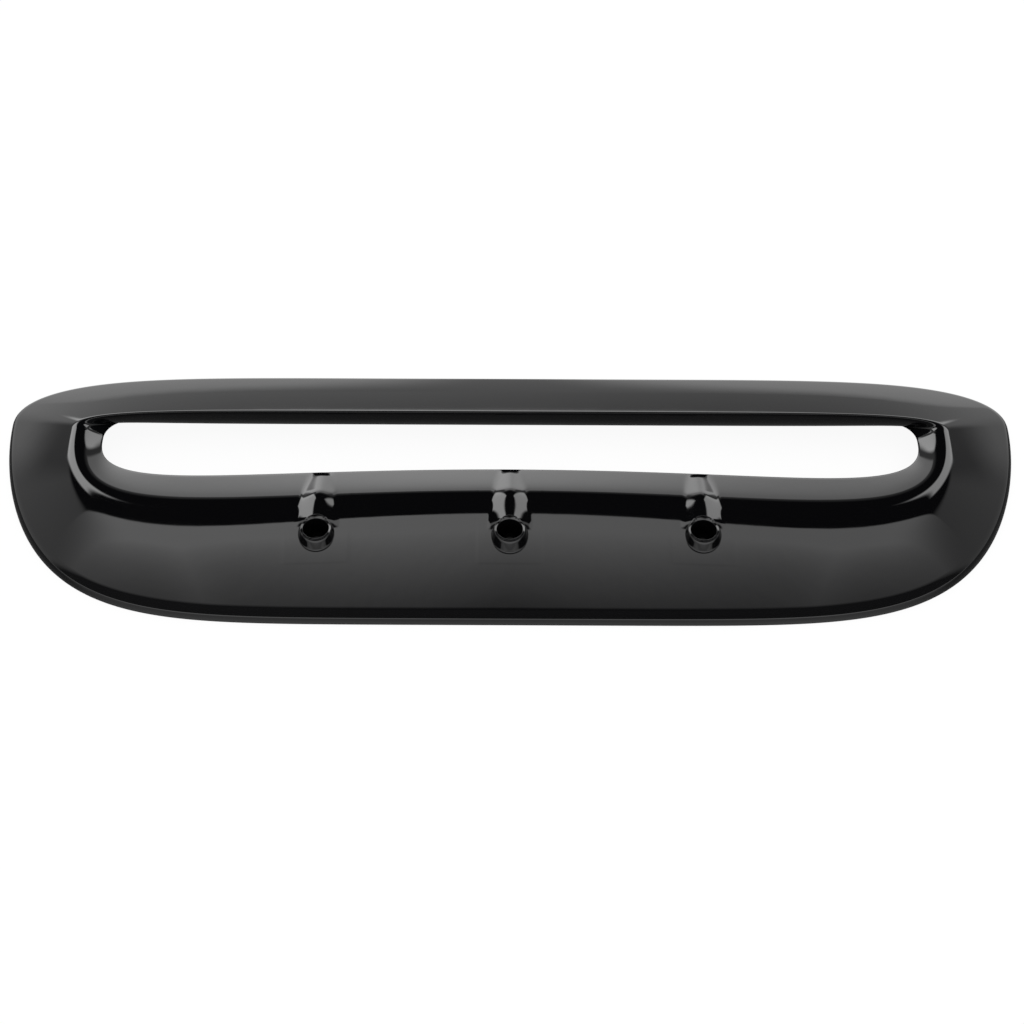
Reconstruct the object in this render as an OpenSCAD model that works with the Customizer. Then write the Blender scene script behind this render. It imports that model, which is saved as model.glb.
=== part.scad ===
// Bonnet scoop: one gloss moulding, a ring with a ramp, a lipped throat and three screw sockets.
// Millimetres, +Z up, front towards -Y, the rim's plane at z = 0.

/* [Rim] */
// Width across the rim
scoop_w = 562; // [500:1:620]
// Front rim to rear rim
scoop_d = 174; // [150:0.5:200]
// How far in front of the rear rim the rim is widest
rim_widest = 37; // [25:0.5:60]
// Squareness of the rim's ends
rim_square = 6.3; // [3:0.1:9]
// Fullness of the rim's front corners
rim_front_full = 1.75; // [1.4:0.05:3]
// Fullness of the rim's rear corners
rim_rear_full = 2.2; // [1.6:0.05:4]
// Height of the rim's corner at the front, before it is rounded
rim_front_h = 6.3; // [4:0.1:10]
// Height of the rim's corner at the sides and rear, before it is rounded
rim_rear_h = 5; // [3:0.1:9]
// Length of the rounding on each side of the rim's corner
rim_round = 3.2; // [1:0.1:5]

/* [Lip] */
// Width of the opening across the lip
lip_w = 473; // [420:1:520]
// Lip's widest row, in front of the rear rim
lip_widest = 59.5; // [45:0.5:80]
// Reach of the lip in front of its widest row, at its corners
lip_front = 64; // [40:0.5:80]
// How far the middle of the lip's front is drawn back
lip_bow = 14.3; // [0:0.1:20]
// Reach of the lip behind its widest row
lip_rear = 12.6; // [8:0.1:20]
// Squareness of the lip's ends
lip_square = 8; // [4:0.1:12]
// Fullness of the lip's corners
lip_full = 2.5; // [1.6:0.05:4]
// Height of the lip's corner line at the front
lip_front_h = 26.4; // [20:0.1:34]
// Height of the lip's corner line at the sides
lip_side_h = 25; // [18:0.1:32]
// Height of the lip's corner line at the rear
lip_rear_h = 25; // [18:0.1:34]
// Length of the front lip's rounding on the ramp
lip_round_ramp = 9.3; // [4:0.1:14]
// Length of the front lip's rounding on the throat floor
lip_round_floor = 6.6; // [3:0.1:12]
// Length of the side lip's rounding
lip_round_side = 3.6; // [1.5:0.1:8]
// Length of the rear lip's rounding
lip_round_rear = 2.6; // [1.2:0.1:6]
// Drop of the rear lip's face towards the throat's roof
lip_drop = 17; // [6:0.5:20]
// Crown of the ramp, the ends and the top bar
crown = 1.6; // [0:0.1:4]

/* [Throat] */
// Width of the air opening
throat_w = 451; // [400:1:500]
// Throat's widest row, in front of the rear rim
throat_widest = 60.2; // [45:0.1:75]
// Reach of the throat floor's edge in front of the widest row, at its corners
throat_front = 30.7; // [20:0.1:42]
// How far the middle of the throat floor's edge is drawn back
throat_bow = 7.2; // [0:0.1:15]
// Reach of the throat's roof behind the widest row
throat_rear = 29.7; // [20:0.1:34]
// Squareness of the throat's ends
throat_square = 10; // [4:0.1:14]
// Fullness of the throat's corners
throat_full = 2.8; // [1.6:0.05:4]
// Height of the throat floor's edge
throat_floor_h = 19.8; // [12:0.1:22]
// Height of the throat's edge at the sides
throat_side_h = 18; // [10:0.1:21]
// Height of the roof's lower edge
throat_roof_h = 4; // [2:0.1:8]
// Wall of the moulding
wall = 2.8; // [2:0.1:4]

/* [Screw sockets] */
// Spacing of the three sockets
socket_pitch = 101.5; // [80:0.5:120]
// Row of the sockets, behind the front rim
socket_row = 43.8; // [30:0.1:60]
// Height of the sockets' rims
socket_h = 25.6; // [20:0.1:30]
// Radius of a socket's bore, for the screw's head
socket_bore_r = 6.75; // [5:0.05:8]
// Radius of a socket's rim and of the cut in the cowl behind it
socket_rim_r = 8.3; // [7.8:0.1:11]
// Radius of the flared foot under the ramp
socket_flare_r = 10.6; // [8.5:0.1:14]
// Radius of a screw post under the ramp
post_r = 9.2; // [7.5:0.1:11]
// Floor under the screw's head
post_floor = 4; // [2.5:0.1:6]
// Clearance hole for the screw
screw_hole_r = 2.75; // [2:0.05:4]

/* [Cowls] */
// Half width of a cowl at its socket
cowl_half_w = 11.8; // [9.5:0.1:15]
// Half width of a cowl at its tip
cowl_tip_w = 4; // [2:0.1:8]
// Gap from a cowl's tip to the throat floor's edge
cowl_tip_gap = 2; // [1:0.1:8]
// Height of a cowl's blunt tip over the throat floor
cowl_tip_h = 1.8; // [0.5:0.1:4]
// Rise of a cowl's crest line over the lip's corner line
cowl_over_lip = 4.1; // [2:0.1:7]
// Height of a cowl over its socket's rim
cowl_over_socket = 0.7; // [0.2:0.1:4]

/* [Underside] */
// Thickness of the ribs
rib_t = 1.8; // [1.2:0.1:3]
// Clearance of the ribs over the rim's plane
rib_lift = 3; // [1:0.5:8]
// Spacing of the rear screw towers
tower_pitch = 300; // [200:5:420]
// Row of the towers, in front of the rear rim
tower_row = 15.5; // [12:0.5:20]
// Radius of a tower
tower_r = 4.8; // [4:0.1:7]
// Radius of a tower's pilot hole
pilot_r = 1.9; // [1.2:0.05:2.6]
// Depth of a tower's pilot hole
pilot_deep = 7; // [4:0.5:9]

/* [Hidden] */
front_n = 60;
rear_n = 44;
ends_square = 8;
ends_full = 0.8;
sink = 0.6;
flare_h = 9;
rear_y = scoop_d / 2;
socket_x = [-socket_pitch, 0, socket_pitch];
socket_y = socket_row - rear_y;
tower_x = [-tower_pitch / 2, tower_pitch / 2];
tower_y = rear_y - tower_row;
rib_x = [0.5 * socket_pitch, 1.5 * socket_pitch];
gusset_x = [0.35 * socket_pitch, 1.05 * socket_pitch, 1.75 * socket_pitch];

// Half of a squared-off ellipse: 1 in the middle, 0 at the end, c the share of the half width
function arc_of(c, square, full) = pow(1 - pow(min(abs(c), 1), square), 1 / full);

// A loop of half width w about the row mid: t runs 0 to 180 along the rear, 180 to 360 along the front
function loop_y(t, mid, front, rear, square, full_f, full_r, bow) = t < 180
  ? mid + rear * arc_of(cos(t), square, full_r)
  : mid - front * arc_of(cos(t), square, full_f) + bow * pow(sin(t), 4);

// A value that differs at the front, the sides and the rear, level where the loops are widest
function around(t, front, side, rear) =
  side + ((t < 180 ? rear : front) - side) * pow(1 - pow(abs(cos(t)), ends_square), ends_full);

function rim_y(t) = loop_y(t, rear_y - rim_widest, scoop_d - rim_widest, rim_widest,
  rim_square, rim_front_full, rim_rear_full, 0);
function lip_y(t) = loop_y(t, rear_y - lip_widest, lip_front, lip_rear,
  lip_square, lip_full, lip_full, lip_bow);
function throat_y(t) = loop_y(t, rear_y - throat_widest, throat_front, throat_rear,
  throat_square, throat_full, 2, throat_bow);

function rim_pt(t, z) = [scoop_w / 2 * cos(t), rim_y(t), z];
function lip_pt(t) = [lip_w / 2 * cos(t), lip_y(t), around(t, lip_front_h, lip_side_h, lip_rear_h)];
function throat_h(t) = t < 180
  ? around(t, 0, throat_side_h, throat_roof_h)
  : throat_side_h + (throat_floor_h - throat_side_h) * arc_of(cos(t), throat_square, throat_full);
function throat_pt(t) = [throat_w / 2 * cos(t), throat_y(t), throat_h(t)];
function corner_h(t) = around(t, rim_front_h, rim_rear_h, rim_rear_h);

function unit(v) = v / norm(v);
function bend(a, b, c, s) = (1 - s) * (1 - s) * a + 2 * s * (1 - s) * b + s * s * c;
function along(a, b, d) = a + unit(b - a) * d;

// The corner points of the skin's section: rim foot, rim corner, crown, lip, throat, edge
function frame_of(foot, corner, lip, edge, drop) = let (
  mid = (lip + edge) / 2 + [0, 0, crown / 4]
) [
  foot,
  corner,
  (corner + lip) / 2 + [0, 0, crown],
  lip,
  mid + (lip - [0, 0, lip_drop] - mid) * drop,
  edge
];
function frame_at(t) = frame_of(rim_pt(t, 0), rim_pt(t, corner_h(t)), lip_pt(t), throat_pt(t), around(t, 0, 0, 1));

// The skin from the rim's foot to the throat's edge, its corners rounded by quadratic curves
function skin(k, ramp_r, floor_r) = let (
  wall_end = along(k[1], k[0], rim_round),
  ramp_start = along(k[1], k[2], rim_round),
  ramp_end = along(k[3], k[2], ramp_r),
  floor_start = along(k[3], k[4], floor_r)
) [
  k[0],
  for (s = [0:1 / 3:0.99]) bend(wall_end, k[1], ramp_start, s),
  for (s = [0:1 / 4:0.99]) bend(ramp_start, k[2], ramp_end, s),
  for (s = [0:1 / 5:0.99]) bend(ramp_end, k[3], floor_start, s),
  for (s = [0:1 / 3:1.01]) bend(floor_start, k[4], k[5], s)
];
function ramp_r(t) = around(t, lip_round_ramp, lip_round_side, lip_round_rear);
function floor_r(t) = around(t, lip_round_floor, lip_round_side, lip_round_rear);
function skin_at(t) = skin(frame_at(t), ramp_r(t), floor_r(t));

// The back: each corner moved by the wall's thickness along the mitre of the faces it joins
function mitre(p, n1, n2) = p + wall * (n1 + n2) / (1 + n1 * n2);
function back_at(t) = let (
  k = frame_at(t),
  run = unit(lip_pt(t + 0.5) - lip_pt((t + 359.5) % 360)),
  n = [for (i = [0:4]) unit(cross(k[i + 1] - k[i], run))],
  b = [for (i = [1:4]) mitre(k[i], n[i - 1], n[i])],
  crest = bend(along(k[3], k[2], ramp_r(t)), k[3], along(k[3], k[4], floor_r(t)), 0.5),
  under = b[2] + crest - k[3],
  edge = k[5] + wall * n[4],
  foot = k[0] + wall * unit([n[0].x, n[0].y, 0])
) [
  for (s = [0:1 / 3:0.99]) bend(edge, b[3], under, s),
  for (s = [0:1 / 3:1.01]) bend(under, b[1], b[0], s),
  foot
];

rear_t = [for (i = [0:rear_n - 1]) 90 * (1 - cos(180 * i / rear_n))];
front_t = [for (i = [0:front_n - 1]) 180 + 180 * i / front_n];
sections = [for (t = concat(rear_t, front_t)) concat(skin_at(t), back_at(t))];

module shell() {
  m = len(sections);
  n = len(sections[0]);
  at = function(i, j) (i % m) * n + j % n;
  polyhedron(
    points = [for (s = sections) each s],
    faces = [for (i = [0:m - 1]) for (j = [0:n - 1]) each [
      [at(i, j), at(i, j + 1), at(i + 1, j + 1)],
      [at(i, j), at(i + 1, j + 1), at(i + 1, j)]
    ]]
  );
}

// The front's section in the plane at x: each loop taken where it crosses that plane
function front_t_at(x, w) = 360 - acos(x / (w / 2));
function frame_in(x) = let (
  tr = front_t_at(x, scoop_w),
  tl = front_t_at(x, lip_w),
  tt = front_t_at(x, throat_w)
) frame_of(rim_pt(tr, 0), rim_pt(tr, corner_h(tr)), lip_pt(tl), throat_pt(tt), 0);

// Height of a quadratic curve a, b, c over the row y
function height_on(a, b, c, y) = let (
  q = a.y - 2 * b.y + c.y,
  h = b.y - a.y,
  d = y - a.y,
  s = d / (h + sign(h) * sqrt(max(h * h + q * d, 0)))
) bend(a.z, b.z, c.z, s);
function skin_h(x, y) = let (
  k = frame_in(x),
  ramp_start = along(k[1], k[2], rim_round),
  ramp_end = along(k[3], k[2], lip_round_ramp),
  floor_start = along(k[3], k[4], lip_round_floor)
) y < ramp_end.y ? height_on(ramp_start, k[2], ramp_end, y)
  : y < floor_start.y ? height_on(ramp_end, k[3], floor_start, y)
  : height_on(floor_start, k[4], k[5], y);

// The rear's section in the plane at x, and the top bar's height over the row y
function rear_frame_in(x) = let (
  tr = acos(x / (scoop_w / 2)),
  tl = acos(x / (lip_w / 2)),
  tt = acos(x / (throat_w / 2))
) frame_of(rim_pt(tr, 0), rim_pt(tr, corner_h(tr)), lip_pt(tl), throat_pt(tt), around(tl, 0, 0, 1));
function bar_h(x, y) = let (
  k = rear_frame_in(x)
) height_on(along(k[1], k[2], rim_round), k[2], along(k[3], k[2], lip_round_rear), y);

// A cowl's crest: over the socket, over the lip, and down to its tip on the throat floor
function crest(x, s) = let (
  k = frame_in(x),
  tip_y = k[5].y - cowl_tip_gap,
  a = [0, socket_y + socket_rim_r - 1, socket_h + cowl_over_socket],
  b = [0, k[3].y + 3.2, k[3].z + cowl_over_lip],
  c = [0, tip_y, skin_h(x, tip_y) + cowl_tip_h]
) bend(a, b, c, s);

module cowl(x) {
  lead = 4.5;
  ahead = 3;
  rows = 10;
  nose = 3;
  cols = 12;
  round = 2.4;
  blunt = 4;
  grid = [for (i = [-ahead:rows]) let (
    s = max(i, 0) / rows,
    c = crest(x, s),
    fall = i < 0 ? -i / ahead : 0,
    y = c.y - lead * fall,
    half = cowl_tip_w + (cowl_half_w - cowl_tip_w) * sqrt(1 - s),
    dip = sqrt(1 - pow(max(0, 1 - (rows - i) / nose), 2)),
    rise = (c.z - skin_h(x, c.y) + sink) * (1 - pow(fall, blunt)) * dip
  ) [for (j = [0:cols]) let (
    u = -cos(180 * j / cols),
    px = x + half * u,
    base = skin_h(px, y) - sink
  ) [px, y, base + rise * (1 - pow(abs(u), round))]]];
  n = cols + 1;
  m = len(grid);
  top = [for (r = grid) each r];
  low = [for (r = grid) each [for (p = r) [p.x, p.y, skin_h(p.x, p.y) - wall / 2 - sink / 2]]];
  at = function(i, j) i * n + j;
  lo = m * n;
  polyhedron(
    points = concat(top, low),
    faces = concat(
      [for (i = [0:m - 2]) for (j = [0:n - 2]) each [
        [at(i, j), at(i + 1, j), at(i + 1, j + 1)],
        [at(i, j), at(i + 1, j + 1), at(i, j + 1)],
        [lo + at(i, j), lo + at(i + 1, j + 1), lo + at(i + 1, j)],
        [lo + at(i, j), lo + at(i, j + 1), lo + at(i + 1, j + 1)]
      ]],
      [for (i = [0:m - 2]) each [
        [at(i, 0), lo + at(i + 1, 0), at(i + 1, 0)],
        [at(i, 0), lo + at(i, 0), lo + at(i + 1, 0)],
        [at(i, n - 1), at(i + 1, n - 1), lo + at(i + 1, n - 1)],
        [at(i, n - 1), lo + at(i + 1, n - 1), lo + at(i, n - 1)]
      ]],
      [for (j = [0:n - 2]) each [
        [at(0, j), at(0, j + 1), lo + at(0, j + 1)],
        [at(0, j), lo + at(0, j + 1), lo + at(0, j)],
        [at(m - 1, j), lo + at(m - 1, j + 1), at(m - 1, j + 1)],
        [at(m - 1, j), lo + at(m - 1, j), lo + at(m - 1, j + 1)]
      ]]
    )
  );
}

module plate(x, thickness, outline) {
  translate([x - thickness / 2, 0, 0])
    rotate([90, 0, 90])
      linear_extrude(thickness)
        polygon(outline);
}

// A rib under the ramp and the throat floor, its top in the middle of the wall
module front_rib(x) {
  k = frame_in(x);
  inner = k[0].y + wall / 2;
  start = inner + rim_round + wall;
  end = k[5].y - wall;
  plate(x, rib_t, concat(
    [[inner, rib_lift], [inner, k[1].z - wall]],
    [for (i = [0:10]) let (y = start + (end - start) * i / 10) [y, skin_h(x, y) - 0.75 * wall]],
    [[end, skin_h(x, end) - 1.6 * wall]]
  ));
}

// A gusset between the top bar and the throat's roof
module rear_gusset(x) {
  k = rear_frame_in(x);
  outer = k[0].y - wall / 2;
  start = k[3].y + 3 * wall;
  end = outer - rim_round - wall;
  roof = along(k[3], k[4], lip_round_rear);
  plate(x, rib_t, concat(
    [for (s = [0.4:0.15:1]) let (p = bend(roof, k[4], k[5], s)) [p.y + wall / 2, p.z + wall / 2]],
    [[k[5].y + wall, k[5].z + wall / 2], [outer, rib_lift], [outer, k[1].z - wall]],
    [for (i = [0:5]) let (y = end + (start - end) * i / 5) [y, bar_h(x, y) - 0.75 * wall]]
  ));
}

// A screw tower under the top bar, its top sloped to end in the middle of the wall
module tower(x) {
  near = tower_y - tower_r;
  steps = 4;
  intersection() {
    translate([x, tower_y, 0])
      cylinder(h = lip_rear_h, r = tower_r, $fn = 32);
    plate(x, 2 * tower_r, concat(
      [[near + 2 * tower_r, 0], [near, 0]],
      [for (i = [0:steps]) let (y = near + 2 * tower_r * i / steps) [y, bar_h(x, y) - 0.6 * wall]]
    ));
  }
}

module scoop() {
  color([0.03, 0.03, 0.035])
    difference() {
      union() {
        shell();
        for (x = socket_x) {
          cowl(x);
          translate([x, socket_y, socket_h - flare_h])
            cylinder(h = flare_h, r1 = socket_flare_r, r2 = socket_rim_r, $fn = 48);
          translate([x, socket_y, 0])
            cylinder(h = socket_h - flare_h + 0.5, r = post_r, $fn = 48);
        }
        for (x = [for (r = rib_x) each [-r, r]]) front_rib(x);
        for (x = [for (r = gusset_x) each [-r, r]]) rear_gusset(x);
        for (x = tower_x) tower(x);
      }
      for (x = tower_x) translate([x, tower_y, -1])
        cylinder(h = pilot_deep + 1, r = pilot_r, $fn = 32);
      for (x = socket_x) translate([x, socket_y, 0]) {
        translate([0, 0, socket_h])
          cylinder(h = 20, r = socket_rim_r, $fn = 48);
        translate([0, 0, post_floor])
          cylinder(h = 40, r = socket_bore_r, $fn = 48);
        translate([0, 0, -1])
          cylinder(h = post_floor + 2, r = screw_hole_r, $fn = 32);
      }
    }
}

scoop();
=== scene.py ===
"""Gloss black bonnet scoop: its fine surface, its finish, the stage, the light and the camera.

Sizes are in millimetres in the property groups and are turned to metres as each mesh is made.
The frame is the part's own: +X across the bonnet, front towards -Y, the rim's plane at z = 0.
"""

import math
import types

import bmesh
import bpy
import numpy as np
from bpy.props import FloatProperty, FloatVectorProperty, PointerProperty
from mathutils import Matrix, Vector


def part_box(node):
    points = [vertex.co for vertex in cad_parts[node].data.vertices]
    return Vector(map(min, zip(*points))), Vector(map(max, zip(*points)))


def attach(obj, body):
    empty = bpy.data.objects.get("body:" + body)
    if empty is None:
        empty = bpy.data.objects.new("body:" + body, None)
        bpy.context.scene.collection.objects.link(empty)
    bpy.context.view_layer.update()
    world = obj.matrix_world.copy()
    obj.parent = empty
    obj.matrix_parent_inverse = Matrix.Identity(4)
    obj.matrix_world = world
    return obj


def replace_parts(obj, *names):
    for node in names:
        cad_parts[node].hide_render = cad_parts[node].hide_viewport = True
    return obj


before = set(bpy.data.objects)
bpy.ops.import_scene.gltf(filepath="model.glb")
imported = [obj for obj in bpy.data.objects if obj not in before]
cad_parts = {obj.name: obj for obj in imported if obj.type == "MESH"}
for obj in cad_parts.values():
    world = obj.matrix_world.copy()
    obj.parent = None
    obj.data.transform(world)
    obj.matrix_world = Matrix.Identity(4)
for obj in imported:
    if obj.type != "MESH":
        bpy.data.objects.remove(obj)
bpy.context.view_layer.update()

bl_info = {
    "name": "Bonnet Scoop",
    "version": (1, 0, 0),
    "blender": (4, 5, 0),
    "location": "View3D > Sidebar > Scoop",
    "description": "Builds a gloss black bonnet scoop with its stage and light",
    "category": "Object",
}

MM = 0.001
LOW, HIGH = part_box("scoop")
SCOOP_W = (HIGH.x - LOW.x) / MM
SCOOP_D = (HIGH.y - LOW.y) / MM
REAR_Y = SCOOP_D / 2

# Rows of the moulding's section: up the rim, over the ramp, the lip and the floor, and round the free
# edge; then back under the floor and under the ramp
WALL_ROWS, RAMP_ROWS, LIP_ROWS, FLOOR_ROWS, EDGE_ROWS = 8, 52, 24, 18, 4
UNDER_FLOOR_ROWS, UNDER_RAMP_ROWS = 8, 14

# Sections along the rear and the front half, and in each window of close ones round a socket
REAR_COLUMNS, FRONT_COLUMNS, WINDOW_COLUMNS = 150, 240, 37
WINDOW_HALF_W = 17.0
WINDOW_MARGIN = 1.2
# Share of the half width from which the sections stop being planes at x
PLANES_END = 0.6

# Free rows of the grid in front of a socket's axis, behind its cowl's tip and round its post
ROOM_IN_FRONT, ROOM_BEHIND, ROOM_ROUND_POST = 15.5, 0.3, 1.5
# Rings of points round a socket, closer together towards its rim by this power
SOCKET_RINGS = 40
RING_CROWDING = 1.8
# Steps of each small rounding at a socket
ROUNDING_STEPS = 4

TOWER_SIDES = 48
# Radius of the small face that closes a tower at its axis
AXIS_R = 0.05

# Points of a mesh that are closer than this are one, in metres
MERGE_WITHIN = 2e-6
# Edges that turn by more than this stay sharp, in degrees
SHARP_FROM = 38


def length(name, text, default):
    """A size that a user may change, its default in millimetres."""
    return FloatProperty(name=name, description=text, default=default * MM, min=0.0, unit="LENGTH")


def names_in(group):
    """The names of a property group's own settings."""
    return [name for name in group.bl_rna.properties.keys() if name not in ("rna_type", "name")]


def in_mm(group):
    """The sizes of a property group in millimetres."""
    return types.SimpleNamespace(**{name: getattr(group, name) / MM for name in names_in(group)})


class ShellSizes(bpy.types.PropertyGroup):
    """The rim, the lip and the throat of the moulding."""

    rim_widest: length("Rim's widest row", "In front of the rear rim", 37)
    rim_front_h: length("Front rim height", "Height of the rim's corner at the front", 6.3)
    rim_rear_h: length("Rear rim height", "Height of the rim's corner at the sides and rear", 5)
    rim_round: length("Rim rounding", "Length of the rounding on each side of the rim's corner", 4.9)
    lip_w: length("Lip width", "Width of the opening across the lip", 473)
    lip_widest: length("Lip's widest row", "In front of the rear rim", 59.5)
    lip_front: length("Lip reach", "Reach of the lip in front of its widest row", 64)
    lip_bow: length("Lip bow", "How far the middle of the lip's front is drawn back", 14.3)
    lip_rear: length("Rear lip reach", "Reach of the lip behind its widest row", 12.6)
    lip_front_h: length("Front lip height", "Height of the lip's corner line at the front", 26.4)
    lip_side_h: length("Side lip height", "Height of the lip's corner line at the sides and rear", 25)
    round_ramp: length("Lip rounding, ramp", "Length of the front lip's rounding on the ramp", 10.4)
    round_floor: length("Lip rounding, floor", "Length of the front lip's rounding on the floor", 7.4)
    round_side: length("Lip rounding, sides", "Length of the side lip's rounding", 5.2)
    round_rear: length("Lip rounding, rear", "Length of the rear lip's rounding", 2.6)
    lip_drop: length("Lip drop", "Drop of the rear lip's face towards the throat's roof", 17)
    crown: length("Crown", "Crown of the ramp, the ends and the top bar", 1.6)
    throat_w: length("Throat width", "Width of the air opening", 447.3)
    throat_widest: length("Throat's widest row", "In front of the rear rim", 60.2)
    throat_front: length("Throat floor reach", "Reach of the floor's edge in front of the widest row", 30.7)
    throat_bow: length("Throat bow", "How far the middle of the floor's edge is drawn back", 7.2)
    throat_rear: length("Throat roof reach", "Reach of the roof behind the widest row", 29.7)
    floor_h: length("Floor height", "Height of the throat floor's edge", 19.8)
    side_h: length("Side height", "Height of the throat's edge at the sides", 18)
    roof_h: length("Roof height", "Height of the roof's lower edge", 4)
    edge_round: length("Edge rounding", "Rounding of the throat's free edge", 0.5)
    wall: length("Wall", "Thickness of the moulding", 2.8)


class SocketSizes(bpy.types.PropertyGroup):
    """The screw sockets, their posts and the cowls behind them."""

    pitch: length("Pitch", "Spacing of the three sockets", 101.5)
    row: length("Row", "Row of the sockets, behind the front rim", 43.8)
    rim_h: length("Rim height", "Height of the sockets' rims", 25.6)
    bore_r: length("Bore radius", "Radius of a socket's bore", 6.75)
    rim_r: length("Rim radius", "Radius of a socket's rim and of the cut in its cowl", 8.3)
    flare_r: length("Flare radius", "Radius of the flared foot under the ramp", 10.6)
    flare_h: length("Flare height", "Height of the flare", 9)
    flare_fillet: length("Flare fillet", "Reach of the fillet at the flare's foot", 1)
    dish: length("Dish", "Dip of the rim's rear towards its bore", 0.5)
    post_r: length("Post radius", "Radius of a screw post under the ramp", 9.2)
    post_floor: length("Post floor", "Floor under the screw's head", 4)
    hole_r: length("Hole radius", "Clearance hole for the screw", 2.75)
    edge: length("Edge", "Rounding of a socket's edges", 0.45)
    cowl_half_w: length("Cowl half width", "Half width of a cowl at its socket", 12)
    cowl_tip_w: length("Cowl tip", "Half width of a cowl at its tip", 6)
    cowl_tip_gap: length("Cowl tip gap", "From a cowl's tip to the floor's edge", 2)
    cowl_over_socket: length("Cowl over socket", "Height of a cowl over its socket's rim", 0.85)
    cowl_tip_h: length("Cowl tip height", "Height of a cowl's blunt tip over the floor", 0.9)
    cowl_ridge: length("Cowl ridge", "Reach of the rounding where a cowl's crest turns down", 1.5)
    cowl_nose: length("Cowl nose", "Length of the rounding at a cowl's tip", 0.4)
    cowl_lead: length("Cowl lead", "Reach of a cowl's feet beside the socket", 4.5)
    fillet: length("Fillet", "Reach of the fillet at a cowl's foot", 0.5)


class UndersideSizes(bpy.types.PropertyGroup):
    """The ribs, gussets and screw towers of the open back."""

    rib_t: length("Rib thickness", "Thickness of the ribs", 1.8)
    rib_lift: length("Rib lift", "Clearance of the ribs over the rim's plane", 3)
    tower_pitch: length("Tower pitch", "Spacing of the rear screw towers", 300)
    tower_row: length("Tower row", "Row of the towers, in front of the rear rim", 15.5)
    tower_r: length("Tower radius", "Radius of a tower", 4.8)
    pilot_r: length("Pilot radius", "Radius of a tower's pilot hole", 1.9)
    pilot_deep: length("Pilot depth", "Depth of a tower's pilot hole", 7)


def hex_colour(text):
    """An sRGB hex colour as linear red, green, blue and alpha."""
    parts = [int(text[i : i + 2], 16) / 255 for i in (1, 3, 5)]
    return [p / 12.92 if p <= 0.04045 else ((p + 0.055) / 1.055) ** 2.4 for p in parts] + [1.0]


class LookSettings(bpy.types.PropertyGroup):
    """The colours and the strength of the light."""

    gloss: FloatVectorProperty(
        name="Gloss face", description="Colour of the gloss ABS", subtype="COLOR", size=4,
        default=hex_colour("#060607"),
    )
    back: FloatVectorProperty(
        name="Back", description="Colour of the bare ABS inside", subtype="COLOR", size=4,
        default=hex_colour("#151516"),
    )
    floor: FloatVectorProperty(
        name="Floor", description="Colour of the pale floor", subtype="COLOR", size=4,
        default=hex_colour("#F4F4F4"),
    )
    fill: FloatProperty(
        name="Fill", description="Power of the soft lamp", default=13.0, min=0.0, unit="POWER"
    )


# The same curves as the part's source, for whole arrays of places


def arc_of(c, square, full):
    """Half of a squared-off ellipse: 1 in the middle and 0 at the end, c the share of the half width."""
    return (1 - np.minimum(np.abs(c), 1) ** square) ** (1 / full)


def around(c, rear, front_v, side_v, rear_v, square=8, full=0.8):
    """A value that differs at the front, the sides and the rear; c is the share of the half width."""
    there = np.where(rear, rear_v, front_v)
    return side_v + (there - side_v) * (1 - np.minimum(np.abs(c), 1) ** square) ** full


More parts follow.
